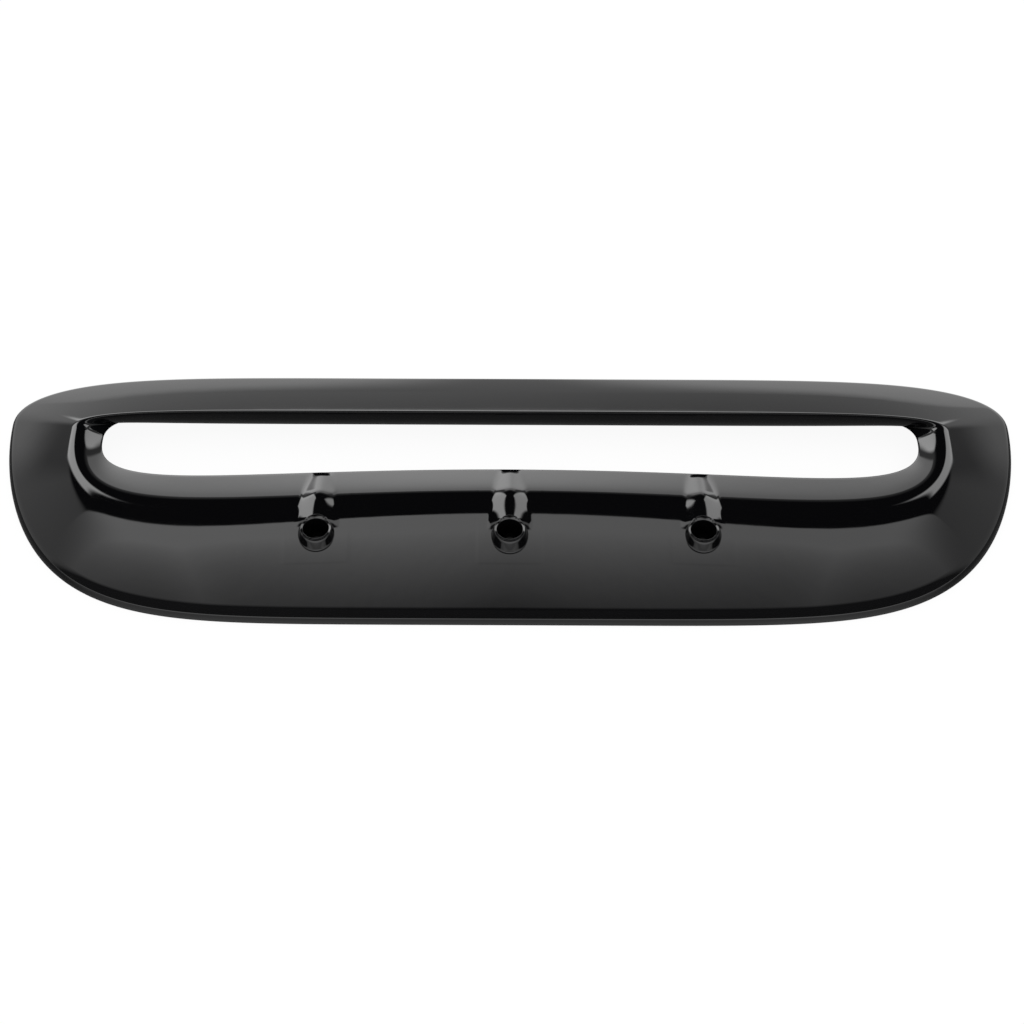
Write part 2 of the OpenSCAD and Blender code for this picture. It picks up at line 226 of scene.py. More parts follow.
class Skin:
    """The moulding's section, worked out for whole arrays of places along its loops.

    A place is c, the cosine of the loop's angle on the rim, the lip and the throat, and whether it is on
    the rear half. Each loop's row is its widest row plus or less its reach times a squared-off arc.
    """

    # Powers of the squared-off arcs: how square their ends are, and how full the arc is
    rim_square, rim_full_front, rim_full_rear = 6.3, 1.75, 2.2
    lip_square, lip_full = 8, 2.5
    throat_square, throat_full_front, throat_full_rear = 10, 2.8, 2
    # How much longer the lip's roundings are at its front corners
    corner_extra = 1.1

    def __init__(self, sizes):
        self.s = sizes

    def rim(self, c, rear):
        """The rim: x is half the width times c, y a squared-off arc of the rim's reach."""
        s = self.s
        mid = REAR_Y - s.rim_widest
        y_front = mid - (SCOOP_D - s.rim_widest) * arc_of(c, self.rim_square, self.rim_full_front)
        y_rear = mid + s.rim_widest * arc_of(c, self.rim_square, self.rim_full_rear)
        return np.stack([SCOOP_W / 2 * c, np.where(rear, y_rear, y_front), 0 * c], -1)

    def lip(self, c, rear):
        """The lip's corner line, its front drawn back in the middle by the bow."""
        s = self.s
        mid = REAR_Y - s.lip_widest
        arc = arc_of(c, self.lip_square, self.lip_full)
        y_front = mid - s.lip_front * arc + s.lip_bow * (1 - c * c) ** 2
        y_rear = mid + s.lip_rear * arc
        z = around(c, rear, s.lip_front_h, s.lip_side_h, s.lip_side_h)
        return np.stack([s.lip_w / 2 * c, np.where(rear, y_rear, y_front), z], -1)

    def throat(self, c, rear):
        """The throat's free edge, low at the rear under the top bar."""
        s = self.s
        mid = REAR_Y - s.throat_widest
        arc = arc_of(c, self.throat_square, self.throat_full_front)
        y_front = mid - s.throat_front * arc + s.throat_bow * (1 - c * c) ** 2
        y_rear = mid + s.throat_rear * arc_of(c, self.throat_square, self.throat_full_rear)
        z_front = s.side_h + (s.floor_h - s.side_h) * arc
        z = np.where(rear, around(c, rear, 0, s.side_h, s.roof_h), z_front)
        return np.stack([s.throat_w / 2 * c, np.where(rear, y_rear, y_front), z], -1)

    def corners(self, c_rim, c_lip, c_throat, rear):
        """The six corner points of each section: foot, rim corner, crown, lip, throat corner, edge."""
        s = self.s
        foot, lip, edge = self.rim(c_rim, rear), self.lip(c_lip, rear), self.throat(c_throat, rear)
        up = np.array([0, 0, 1.0])
        corner = foot + around(c_rim, rear, s.rim_front_h, s.rim_rear_h, s.rim_rear_h)[..., None] * up
        mid = (lip + edge) / 2 + up * s.crown / 4
        drop = around(c_lip, rear, 0, 0, 1)[..., None]
        return [
            foot,
            corner,
            (corner + lip) / 2 + up * s.crown,
            lip,
            mid + (lip - up * s.lip_drop - mid) * drop,
            edge,
        ]

    def rounds(self, c_lip, rear):
        """Lengths of the lip's rounding on the ramp and on the floor, larger towards its front corners."""
        s = self.s
        corner = np.where(rear, 1, 1 + self.corner_extra * c_lip**2 * (1 - c_lip**8))
        ramp = around(c_lip, rear, s.round_ramp, s.round_side, s.round_rear) * corner
        floor = around(c_lip, rear, s.round_floor, s.round_side, s.round_rear) * corner
        return ramp[..., None], floor[..., None]

    def ends(self, k, ramp_r, floor_r):
        """Where the curves of each section start and end."""
        s = self.s
        return (
            along(k[1], k[0], s.rim_round),
            along(k[1], k[2], s.rim_round),
            along(k[3], k[2], ramp_r),
            along(k[3], k[4], floor_r),
        )

    def at_planes(self, x):
        """The front sections in the planes at x: each loop is taken where it crosses that plane."""
        s = self.s
        front = np.zeros(np.shape(x), bool)
        return self.corners(2 * x / SCOOP_W, 2 * x / s.lip_w, 2 * x / s.throat_w, front)

    def height(self, x, y):
        """Height of the front's skin over the points x, y, from the sections in the planes at x."""
        s = self.s
        k = self.at_planes(x)
        rounds = self.rounds(2 * x / s.lip_w, np.zeros(np.shape(x), bool))
        _, ramp_start, ramp_end, floor_start = self.ends(k, *rounds)
        ramp = height_on(ramp_start, k[2], ramp_end, y)
        lip = height_on(ramp_end, k[3], floor_start, y)
        floor = height_on(floor_start, k[4], k[5], y)
        return np.where(y < ramp_end[..., 1], ramp, np.where(y < floor_start[..., 1], lip, floor))


def unit(v):
    """Vectors turned to length one."""
    return v / np.linalg.norm(v, axis=-1, keepdims=True)


def along(a, b, d):
    """The point at distance d from a towards b."""
    return a + unit(b - a) * d


def bend(a, b, c, s):
    """A quadratic curve from a to c, pulled towards b, at the share s."""
    return (1 - s) ** 2 * a + 2 * s * (1 - s) * b + s**2 * c


def height_on(a, b, c, y):
    """Height of the quadratic curve a, b, c over the row y: solves the row for the share s."""
    q = a[..., 1] - 2 * b[..., 1] + c[..., 1]
    h = b[..., 1] - a[..., 1]
    d = y - a[..., 1]
    root = np.sqrt(np.maximum(h * h + q * d, 0))
    s = d / (h + np.where(h < 0, -1, 1) * root)
    return bend(a[..., 2], b[..., 2], c[..., 2], s)


def curve(a, b, c, steps, end=False):
    """Rows of points on a quadratic curve, one array a step, the last one only if end is set."""
    shares = np.arange(steps + (1 if end else 0)) / steps
    return [bend(a, b, c, s) for s in shares]


def socket_places(sockets):
    """The places of the three sockets across the scoop."""
    return np.array([-1, 0, 1]) * sockets.pitch


def columns(sizes, sockets):
    """The places of the sections along the loops, as cosines on the rim, lip and throat.

    The rear half is spaced as a cosine and the front by equal angles, with columns a millimetre apart in
    the windows round the sockets. In the middle a section is a plane at x; towards the ends the three
    loops share one angle, and a smooth step leads from one to the other.
    """
    rear = 90 * (1 - np.cos(np.pi * np.arange(REAR_COLUMNS) / REAR_COLUMNS))
    front = np.linspace(180, 360, FRONT_COLUMNS + 1)[:-1]
    socket_x = socket_places(sockets)
    x = sizes.lip_w / 2 * np.cos(np.radians(front))
    clear = np.all(np.abs(x[:, None] - socket_x) > WINDOW_HALF_W + WINDOW_MARGIN, axis=1)
    across = np.linspace(-WINDOW_HALF_W, WINDOW_HALF_W, WINDOW_COLUMNS)
    inside = (socket_x[:, None] + across).ravel()
    window = 360 - np.degrees(np.arccos(2 * inside / sizes.lip_w))
    angle = np.concatenate([rear, np.sort(np.concatenate([front[clear], window]))])
    c = np.cos(np.radians(angle))
    is_rear = np.arange(len(angle)) < len(rear)
    share = np.clip((np.abs(c) - PLANES_END) / (1 - PLANES_END), 0, 1)
    ease = np.where(is_rear, 1, share * share * (3 - 2 * share))
    plane = sizes.lip_w / 2 * c
    c_rim = plane * (1 + (SCOOP_W / sizes.lip_w - 1) * ease) * 2 / SCOOP_W
    c_throat = plane * (1 + (sizes.throat_w / sizes.lip_w - 1) * ease) * 2 / sizes.throat_w
    return c_rim, c, c_throat, is_rear


def mesh_object(name, points, faces, *materials, second=None):
    """A mesh object from millimetre points and faces, its doubles merged, smooth but for true edges.

    The faces that second marks have the second material.
    """
    mesh = bpy.data.meshes.new(name)
    mesh.from_pydata((points * MM).tolist(), [], faces)
    if second is not None:
        mesh.polygons.foreach_set("material_index", np.array(second, np.int32))
    tidy = bmesh_of(mesh)
    if not all(edge.is_manifold for edge in tidy.edges):
        raise RuntimeError(f"{name} isn't closed")
    tidy.to_mesh(mesh)
    tidy.free()
    mesh.shade_smooth()
    mesh.set_sharp_from_angle(angle=math.radians(SHARP_FROM))
    for material in materials:
        mesh.materials.append(material)
    obj = bpy.data.objects.new(name, mesh)
    bpy.context.scene.collection.objects.link(obj)
    return obj


def bmesh_of(mesh):
    """The mesh as a bmesh with doubles merged, empty faces gone and faces pointing outwards."""
    bm = bmesh.new()
    bm.from_mesh(mesh)
    bmesh.ops.remove_doubles(bm, verts=bm.verts, dist=MERGE_WITHIN)
    bmesh.ops.dissolve_degenerate(bm, edges=bm.edges, dist=MERGE_WITHIN / 2)
    bmesh.ops.recalc_face_normals(bm, faces=bm.faces)
    return bm


def shell_rows(sizes, sockets):
    """All rows of the moulding's closed section over the columns: an array of rows, columns, x y z.

    The skin runs from the rim's foot over the ramp and the lip to the throat's edge, and the back returns
    under it. Each back corner is its skin corner moved by the wall along the mitre of the faces it joins.
    Returns the rows, how many belong to the skin, the places on the lip and which of them are rear.
    """
    skin = Skin(sizes)
    c_rim, c_lip, c_throat, rear = columns(sizes, sockets)
    k = skin.corners(c_rim, c_lip, c_throat, rear)
    wall_end, ramp_start, ramp_end, floor_start = skin.ends(k, *skin.rounds(c_lip, rear))
    run = unit(np.roll(k[3], -1, 0) - np.roll(k[3], 1, 0))
    n = [unit(np.cross(k[i + 1] - k[i], run)) for i in range(5)]
    turn = [1 + (n[i] * n[i + 1]).sum(-1, keepdims=True) for i in range(4)]
    b = [k[i + 1] + sizes.wall * (n[i] + n[i + 1]) / turn[i] for i in range(4)]
    under = b[2] + bend(ramp_end, k[3], floor_start, 0.5) - k[3]
    edge = k[5] + sizes.wall * n[4]
    foot = k[0] + sizes.wall * unit(n[0] * np.array([1, 1, 0]))
    reach = np.linalg.norm(k[5] - k[4], axis=-1, keepdims=True)
    last = 1 - sizes.edge_round / (2 * reach)
    floor_end = bend(floor_start, k[4], k[5], last)
    top = [k[0]]
    top += curve(wall_end, k[1], ramp_start, WALL_ROWS)
    top += curve(ramp_start, k[2], ramp_end, RAMP_ROWS)
    top += curve(ramp_end, k[3], floor_start, LIP_ROWS)
    top += [bend(floor_start, k[4], k[5], last * i / FLOOR_ROWS) for i in range(FLOOR_ROWS)]
    top += curve(floor_end, k[5], along(k[5], edge, sizes.edge_round), EDGE_ROWS, end=True)
    back = curve(edge, b[3], under, UNDER_FLOOR_ROWS)
    back += curve(under, b[1], b[0], UNDER_RAMP_ROWS, end=True) + [foot]
    return np.array(top + back), len(top), c_lip, rear


def grid_faces(index, keep):
    """Quads between neighbouring rows and columns of an index array that wraps both ways."""
    right = np.roll(index, -1, 1)
    quads = np.stack([index, right, np.roll(right, -1, 0), np.roll(index, -1, 0)], -1)
    return quads[keep].tolist()


def outline(index, front, rear, left, right):
    """Vertex numbers round a rectangle of the grid, anticlockwise seen from above.

    The back's rows run towards the front, so that there the front row's number is the larger one.
    """
    step = 1 if front < rear else -1
    return np.concatenate([
        index[front, left:right],
        index[front:rear:step, right],
        index[rear, right:left:-1],
        index[rear:front:-step, left],
    ])


def ring_strip(a, b):
    """Quads between two closed rings of as many points."""
    return np.stack([a, np.roll(a, -1), np.roll(b, -1), b], -1).tolist()


def stitch(a, angle_a, b, angle_b):
    """Triangles between two closed rings of unlike counts, each edge to the other ring's nearest point."""

    def middle(angle):
        following = np.append(angle[1:], angle[0] + 2 * np.pi)
        return (angle + following) / 2

    mid_a, mid_b = middle(angle_a), middle(angle_b)
    tip_b = b[np.searchsorted(mid_b, mid_a) % len(b)]
    tip_a = a[np.searchsorted(mid_a, mid_b) % len(a)]
    first = np.stack([a, np.roll(a, -1), tip_b], -1)
    second = np.stack([np.roll(b, -1), b, tip_a], -1)
    return first.tolist() + second.tolist()


def smooth_max(a, b, reach):
    """The larger of two heights, with a fillet where they differ by less than the reach."""
    h = np.clip(0.5 + 0.5 * (a - b) / reach, 0, 1)
    return b + (a - b) * h + reach * h * (1 - h)


class Socket:
    """One screw socket with its cowl: heights over the points round its axis."""

    # How deep a cowl's foot lies under the skin, so that the fillet starts in it
    sink = 0.4
    # Slopes of the crest's two lines
    climb, dive = 0.085, -0.33
    # How round the ridge is across the cowl, as a share of its half width
    ridge_share = 0.3
    # The wall of the ramp measured straight down, as a share of its thickness
    wall_down = 1.06

    def __init__(self, skin, s, x):
        self.skin, self.s, self.x = skin, s, x
        self.y = s.row - REAR_Y
        edge = skin.at_planes(np.array(x))[5]
        self.tip_y = edge[1] - s.cowl_tip_gap
        self.tip_h = float(skin.height(np.array(x), self.tip_y)) + s.cowl_tip_h

    def angle_of(self, points):
        """The angles of a ring of points about the axis, without a jump."""
        return np.unwrap(np.arctan2(points[:, 1] - self.y, points[:, 0] - self.x))

    def cowl(self, x, y):
        """The cowl's height: a tent across it, with a rounded ridge along its crest.

        The crest climbs from the socket on one straight line and falls to the tip on another. Across it
        the fall is a hyperbola of the share u of the half width: the root of u squared plus the ridge
        share squared, less that share, brought to 1 at the foot.
        """
        s = self.s
        start = self.y + s.rim_r - 1
        row = np.clip(y, start, self.tip_y)
        share = (row - start) / (self.tip_y - start)
        up = s.rim_h + s.cowl_over_socket + self.climb * (row - start)
        down = self.tip_h + self.dive * (row - self.tip_y)
        crest_h = -smooth_max(-up, -down, s.cowl_ridge)
        fall = np.clip((start - y) / s.cowl_lead, 0, 1)
        half = s.cowl_tip_w + (s.cowl_half_w - s.cowl_tip_w) * np.sqrt(1 - share)
        middle = np.full_like(y, self.x)
        rise = (crest_h - self.skin.height(middle, row) + self.sink) * (1 - fall**4)
        rise = rise * np.sqrt(1 - np.clip(1 - (self.tip_y - y) / s.cowl_nose, 0, 1) ** 2)
        u = np.clip(np.abs(x - self.x) / half, 0, 1)
        e = self.ridge_share
        across = (np.sqrt(u * u + e * e) - e) / (math.sqrt(1 + e * e) - e)
        return self.skin.height(x, y) - self.sink + rise * (1 - across)

    def height(self, x, y):
        """Height of the skin with the cowl and the socket's flare, a steep cone, grown out of it."""
        s = self.s
        base = self.skin.height(x, y)
        radius = np.hypot(x - self.x, y - self.y)
        flare = s.rim_h - (radius - s.rim_r) * s.flare_h / (s.flare_r - s.rim_r)
        return smooth_max(smooth_max(base, flare, s.flare_fillet), self.cowl(x, y), s.fillet)

    def rows(self, angle, border):
        """Rings from the border in to the rim, down the bore, through the floor and up the post.

        Each ring has one point an angle. Outside the rim they lie on the height surface; at the rim an
        edge is rounded by a quadratic curve between the surface, the cut's corner and the cut's wall.
        """
        s, e = self.s, self.s.edge
        cos, sin = np.cos(angle), np.sin(angle)

        def ring(r, z):
            return np.stack([self.x + r * cos, self.y + r * sin, z + 0 * angle], -1)

        def on_skin(r):
            p = ring(r, 0)
            return ring(r, self.height(p[:, 0], p[:, 1]))

        reach = np.hypot(border[:, 0] - self.x, border[:, 1] - self.y)
        inner = s.rim_r + e
        shares = (np.arange(SOCKET_RINGS - 1, 0, -1) / SOCKET_RINGS) ** RING_CROWDING
        out = [on_skin(inner + (reach - inner) * share) for share in shares]
        top = on_skin(inner)
        corner = on_skin(np.full_like(angle, s.rim_r))
        proud = np.maximum(corner[:, 2] - s.rim_h, 0)
        corner = ring(s.rim_r, s.rim_h + proud)
        back = np.maximum(e - proud, 0)
        start = ring(s.rim_r - back, s.rim_h + np.maximum(proud - e, 0))
        out += curve(top, corner, start, ROUNDING_STEPS, end=True)
        out += [ring(s.rim_r - back, s.rim_h)]
        seat = s.rim_h - s.dish * (1 + sin) / 2
        mouth = ring(s.bore_r + e, seat), ring(s.bore_r, seat), ring(s.bore_r, seat - e)
        out += curve(*mouth, ROUNDING_STEPS, end=True)
        post = ring(s.post_r, 0)
        out += [ring(s.bore_r, s.post_floor), ring(s.hole_r, s.post_floor), ring(s.hole_r, 0), post]
        post_top = self.skin.height(post[:, 0], post[:, 1]) - self.wall_down * self.skin.s.wall
        return out + [ring(s.post_r, post_top)]


def moulding(sizes, sockets):
    """Points and faces of the shell with its sockets, and which faces are bare: one closed surface.

    The section's grid goes round the opening. Round each socket a rectangle of it is left out above and
    below, and rings of points join the upper one to the rim, the bore, the post and the lower one. Bare
    are the post from its foot up and the back, but not the walls at the section's start and end.
    """
    rows, top_n, c_lip, rear = shell_rows(sizes, sockets)
    skin = Skin(sizes)
    bare = []
    n_rows, n_cols = rows.shape[:2]
    index = np.arange(n_rows * n_cols).reshape(n_rows, n_cols)
    keep = np.ones((n_rows, n_cols), bool)
    flat = rows.reshape(-1, 3)
    points, faces = [flat], []
    count = n_rows * n_cols
    x_lip = sizes.lip_w / 2 * c_lip
    for x in socket_places(sockets):
        socket = Socket(skin, sockets, x)
        inside = np.flatnonzero(~rear & (np.abs(x_lip - x) < WINDOW_HALF_W + WINDOW_MARGIN / 2))
        c0, c1 = inside[0], inside[-1]
        y = rows[:, c0 : c1 + 1, 1]
        top_y, back_y = y[:top_n], y[top_n:]
        post_room = sockets.post_r + ROOM_ROUND_POST
        r0 = np.flatnonzero(top_y.max(1) < socket.y - ROOM_IN_FRONT)[-1]
        r1 = np.flatnonzero(top_y[:-EDGE_ROWS].min(1) > socket.tip_y + ROOM_BEHIND)[0]
        b0 = top_n + np.flatnonzero(back_y.min(1) > socket.y + post_room)[-1]
        b1 = top_n + np.flatnonzero(back_y.max(1) < socket.y - post_room)[0]
        keep[r0:r1, c0:c1] = False
        keep[b0:b1, c0:c1] = False
        border = outline(index, r0, r1, c0, c1)
        angle = socket.angle_of(flat[border])
        rings = socket.rows(angle, flat[border])
        ids = [count + i * len(border) + np.arange(len(border)) for i in range(len(rings))]
        count += len(rings) * len(border)
        points += rings
        for a, b in zip([border] + ids[:-1], ids):
            faces += ring_strip(a, b)
        bare += [False] * (len(faces) - len(bare) - 2 * len(border))
        below = outline(index, b1, b0, c0, c1)
        turn = socket.angle_of(flat[below])
        nearest = np.argmin(np.abs(np.angle(np.exp(1j * (turn - angle[0])))))
        below = np.roll(below, -nearest)
        turn = socket.angle_of(flat[below])
        turn += 2 * np.pi * np.round((angle[0] - turn[0]) / (2 * np.pi))
        faces += stitch(ids[-1], angle, below, turn)
        bare += [True] * (len(faces) - len(bare))
    faces += grid_faces(index, keep)
    row = np.nonzero(keep)[0]
    bare += ((row >= top_n) & (row < n_rows - 1)).tolist()
    return np.concatenate(points), faces, bare


def prism(x, thickness, edge):
    """Points and faces of a plate in the plane at x, from its edge as rows of y and z."""
    n = len(edge)
    points = [np.column_stack([np.full(n, x + side * thickness / 2), edge]) for side in (-1, 1)]
    faces = [list(range(n)), list(range(2 * n - 1, n - 1, -1))]
    faces += [[i, (i + 1) % n, n + (i + 1) % n, n + i] for i in range(n)]
    return np.concatenate(points), faces


def tower(skin, u, x):
    """A screw tower: rings about its axis, from the pilot hole's end out and up to a sloped top.

    The top's height over each point is that of the top bar less 0.6 of the wall.
    """
    y, turn = REAR_Y - u.tower_row, 2 * np.pi * np.arange(TOWER_SIDES) / TOWER_SIDES
    across, depth = np.cos(turn), np.sin(turn)

    def top(r):
        return bar_height(skin, x, y + r * depth) - 0.6 * skin.s.wall

    rings = [(AXIS_R, u.pilot_deep), (u.pilot_r, u.pilot_deep), (u.pilot_r, 0), (u.tower_r, 0)]
    rings += [(r, top(r)) for r in (u.tower_r, u.tower_r / 2, AXIS_R)]
    points = np.stack([np.stack([x + r * across, y + r * depth, z + 0 * turn], -1) for r, z in rings])
    index = np.arange(len(rings) * TOWER_SIDES).reshape(len(rings), TOWER_SIDES)
    faces = [face for a, b in zip(index, index[1:]) for face in ring_strip(a, b)]
    return points.reshape(-1, 3), faces + [index[0].tolist(), index[-1, ::-1].tolist()]


def joined(parts):
    """Several sets of points and faces as one."""
    points, faces, count = [], [], 0
    for p, f in parts:
        faces += [[i + count for i in face] for face in f]
        points.append(p)
        count += len(p)
    return np.concatenate(points), faces


def ramp_rib(skin, u, x):
    """A rib under the ramp and the throat floor.

    Its top lies 0.75 of the wall under the skin, so that it ends inside the wall, and its rear end
    reaches 1.6 of the wall down from the floor.
    """
    s, k = skin.s, skin.at_planes(np.array(x))
    inner = k[0][1] + s.wall / 2
    start, end = inner + s.rim_round + s.wall, k[5][1] - s.wall
    y = np.linspace(start, end, 31)
    z = skin.height(np.full_like(y, x), y) - 0.75 * s.wall
    low = [[end, skin.height(np.array(x), end) - 1.6 * s.wall]]
    foot = [[inner, u.rib_lift], [inner, k[1][2] - s.wall]]
    return prism(x, u.rib_t, np.array(foot + np.column_stack([y, z]).tolist() + low))


def rear_planes(skin, x):
    """The rear section in the plane at x."""
    s, rear = skin.s, np.ones(np.shape(x), bool)
    return skin.corners(2 * x / SCOOP_W, 2 * x / s.lip_w, 2 * x / s.throat_w, rear)


def bar_height(skin, x, y):
    """Height of the top bar in the plane at x over the rows y."""
    s, k = skin.s, rear_planes(skin, np.array(x))
    return height_on(along(k[1], k[2], s.rim_round), k[2], along(k[3], k[2], s.round_rear), y)


def bar_gusset(skin, u, x):
    """A gusset between the top bar and the throat's roof.

    Its edge follows the roof half a wall behind its face, then the rim half a wall inside it, and then
    the bar 0.75 of the wall under its skin, up to three walls behind the lip.
    """
    s, k = skin.s, rear_planes(skin, np.array(x))
    outer = k[0][1] - s.wall / 2
    start, end = k[3][1] + 3 * s.wall, outer - s.rim_round - s.wall
    roof = along(k[3], k[4], s.round_rear)
    near = [bend(roof, k[4], k[5], t)[1:] + s.wall / 2 for t in np.linspace(0.4, 1, 5)]
    foot = [k[5][1:] + [s.wall, s.wall / 2], [outer, u.rib_lift], [outer, k[1][2] - s.wall]]
    y = np.linspace(end, start, 12)
    bar = np.column_stack([y, bar_height(skin, x, y) - 0.75 * s.wall])
    return prism(x, u.rib_t, np.array([list(p) for p in near + foot] + bar.tolist()))


def new_node(tree, kind, inputs=None, links=None, **settings):
    """Adds a node to a tree with its settings, its input values and its links."""
    node = tree.nodes.new(kind)
    for name, value in settings.items():
        setattr(node, name, value)
    for name, value in (inputs or {}).items():
        node.inputs[name].default_value = value
    for name, socket in (links or {}).items():
        tree.links.new(socket, node.inputs[name])
    return node


def gloss_abs(colour):
    """Gloss black ABS, moulded in a polished tool: a mirror-like face over nearly no colour of its own.

    The tool's polish leaves long shallow waves, about 9 mm apart, and a fine haze in patches of 40 mm.
    """
    material = bpy.data.materials.new("gloss_black_abs_moulded")
    material.use_nodes = True
    tree = material.node_tree
    shader = tree.nodes["Principled BSDF"]
    shader.inputs["Base Color"].default_value = colour
    shader.inputs["IOR"].default_value = 1.5
    place = new_node(tree, "ShaderNodeTexCoord").outputs["Object"]
    haze = new_node(tree, "ShaderNodeTexNoise", {"Scale": 25.0, "Detail": 3.0}, {"Vector": place})
    rough = new_node(
        tree, "ShaderNodeMapRange",
        {"From Min": 0.35, "From Max": 0.65, "To Min": 0.03, "To Max": 0.06},
        {"Value": haze.outputs["Fac"]},
    )
    tree.links.new(rough.outputs["Result"], shader.inputs["Roughness"])
    wave = new_node(tree, "ShaderNodeTexNoise", {"Scale": 110.0, "Detail": 1.0}, {"Vector": place})
    bump = new_node(
        tree, "ShaderNodeBump", {"Strength": 0.05, "Distance": 0.0002}, {"Height": wave.outputs["Fac"]}
    )
    tree.links.new(bump.outputs["Normal"], shader.inputs["Normal"])
    return material


def bare_abs(colour):
    """Bare black ABS off a spark-eroded tool face: satin, with a fine grain about half a millimetre wide."""
    material = bpy.data.materials.new("bare_black_abs_spark_grain")
    material.use_nodes = True
    tree = material.node_tree
    shader = tree.nodes["Principled BSDF"]
    shader.inputs["Base Color"].default_value = colour
    shader.inputs["IOR"].default_value = 1.5
    place = new_node(tree, "ShaderNodeTexCoord").outputs["Object"]
    grain = new_node(tree, "ShaderNodeTexNoise", {"Scale": 2000.0, "Detail": 2.0}, {"Vector": place})
    rough = new_node(
        tree, "ShaderNodeMapRange", {"To Min": 0.38, "To Max": 0.55}, {"Value": grain.outputs["Fac"]}
    )
    tree.links.new(rough.outputs["Result"], shader.inputs["Roughness"])
    bump = new_node(
        tree, "ShaderNodeBump", {"Strength": 0.25, "Distance": 0.00005}, {"Height": grain.outputs["Fac"]}
    )
    tree.links.new(bump.outputs["Normal"], shader.inputs["Normal"])
    return material


def finish_piece(obj):
    """The piece rides on the one body."""
    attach(obj, "root")
    return obj


class SCOOP_OT_moulding(bpy.types.Operator):
    """Build the shell with its ramp, lip, throat, cowls, sockets and posts"""

    bl_idname = "scoop.moulding"
    bl_label = "Moulding"

    def execute(self, context):
        scene = context.scene
        look = scene.scoop_look
        points, faces, bare = moulding(in_mm(scene.scoop_shell), in_mm(scene.scoop_sockets))
        skins = gloss_abs(look.gloss), bare_abs(look.back)
        obj = mesh_object("scoop_moulding", points, faces, *skins, second=bare)
        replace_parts(finish_piece(obj), "scoop")
        return {"FINISHED"}


def underside_piece(scene, name, part, places):
    """One piece of like parts of the open back, each worked out in the plane at its place."""
    skin, sizes = Skin(in_mm(scene.scoop_shell)), in_mm(scene.scoop_underside)
    parts = [part(skin, sizes, side * place) for place in places for side in (-1, 1)]
    return finish_piece(mesh_object(name, *joined(parts), bare_abs(scene.scoop_look.back)))


class SCOOP_OT_ribs(bpy.types.Operator):
    """Build the four ribs under the ramp"""

    bl_idname = "scoop.ribs"
    bl_label = "Ramp ribs"

    def execute(self, context):
        pitch = in_mm(context.scene.scoop_sockets).pitch
        underside_piece(context.scene, "ramp_ribs", ramp_rib, (0.5 * pitch, 1.5 * pitch))
        return {"FINISHED"}


class SCOOP_OT_gussets(bpy.types.Operator):
    """Build the six gussets under the top bar"""

    bl_idname = "scoop.gussets"
    bl_label = "Bar gussets"

    def execute(self, context):
        pitch = in_mm(context.scene.scoop_sockets).pitch
        places = (0.35 * pitch, 1.05 * pitch, 1.75 * pitch)
        underside_piece(context.scene, "bar_gussets", bar_gusset, places)
        return {"FINISHED"}


class SCOOP_OT_towers(bpy.types.Operator):
    """Build the two screw towers that hold the rear edge"""

    bl_idname = "scoop.towers"
    bl_label = "Screw towers"

    def execute(self, context):
        pitch = in_mm(context.scene.scoop_underside).tower_pitch
        underside_piece(context.scene, "screw_towers", tower, (pitch / 2,))
        return {"FINISHED"}


# The camera, fitted to the photo: its side and focal length in pixels, angles in degrees, metres
PHOTO_SIDE = 1024
FOCAL_PX = 1855.5
CAMERA_TILT = 50.0
CAMERA_FAR = 1.0
AIM = Vector((1.14, -17.07, 8.0)) * MM
ROLL = 0.24

# The floor's radius and the lamp's size and place, in metres
FLOOR_R = 4.0
LAMP_SIZE = (2.4, 2.0)
LAMP_PLACE = (0, 0.2, 1.8)


class SCOOP_OT_stage(bpy.types.Operator):
    """Make the pale floor, the soft light and the camera"""

    bl_idname = "scoop.stage"
    bl_label = "Stage"

    def execute(self, context):
        scene = context.scene
        look = scene.scoop_look
        floor(look.floor)
        surround(scene)
        soft_lamp(look.fill)
        scene.camera = camera()
        scene.view_settings.view_transform = "Standard"
        return {"FINISHED"}


def camera():
    """The camera: 50 degrees over the rim's plane and a metre from the aim, with a slight roll."""
    data = bpy.data.cameras.new("camera")
    data.sensor_width = 36.0
    data.lens = data.sensor_width * FOCAL_PX / PHOTO_SIDE
    obj = bpy.data.objects.new("camera", data)
    tilt = math.radians(CAMERA_TILT)
    back = Vector((0, -math.cos(tilt), math.sin(tilt)))
    turn = back.to_track_quat("Z", "Y").to_matrix() @ Matrix.Rotation(math.radians(ROLL), 3, "Z")
    obj.matrix_world = Matrix.Translation(AIM + back * CAMERA_FAR) @ turn.to_4x4()
    bpy.context.scene.collection.objects.link(obj)
    return obj


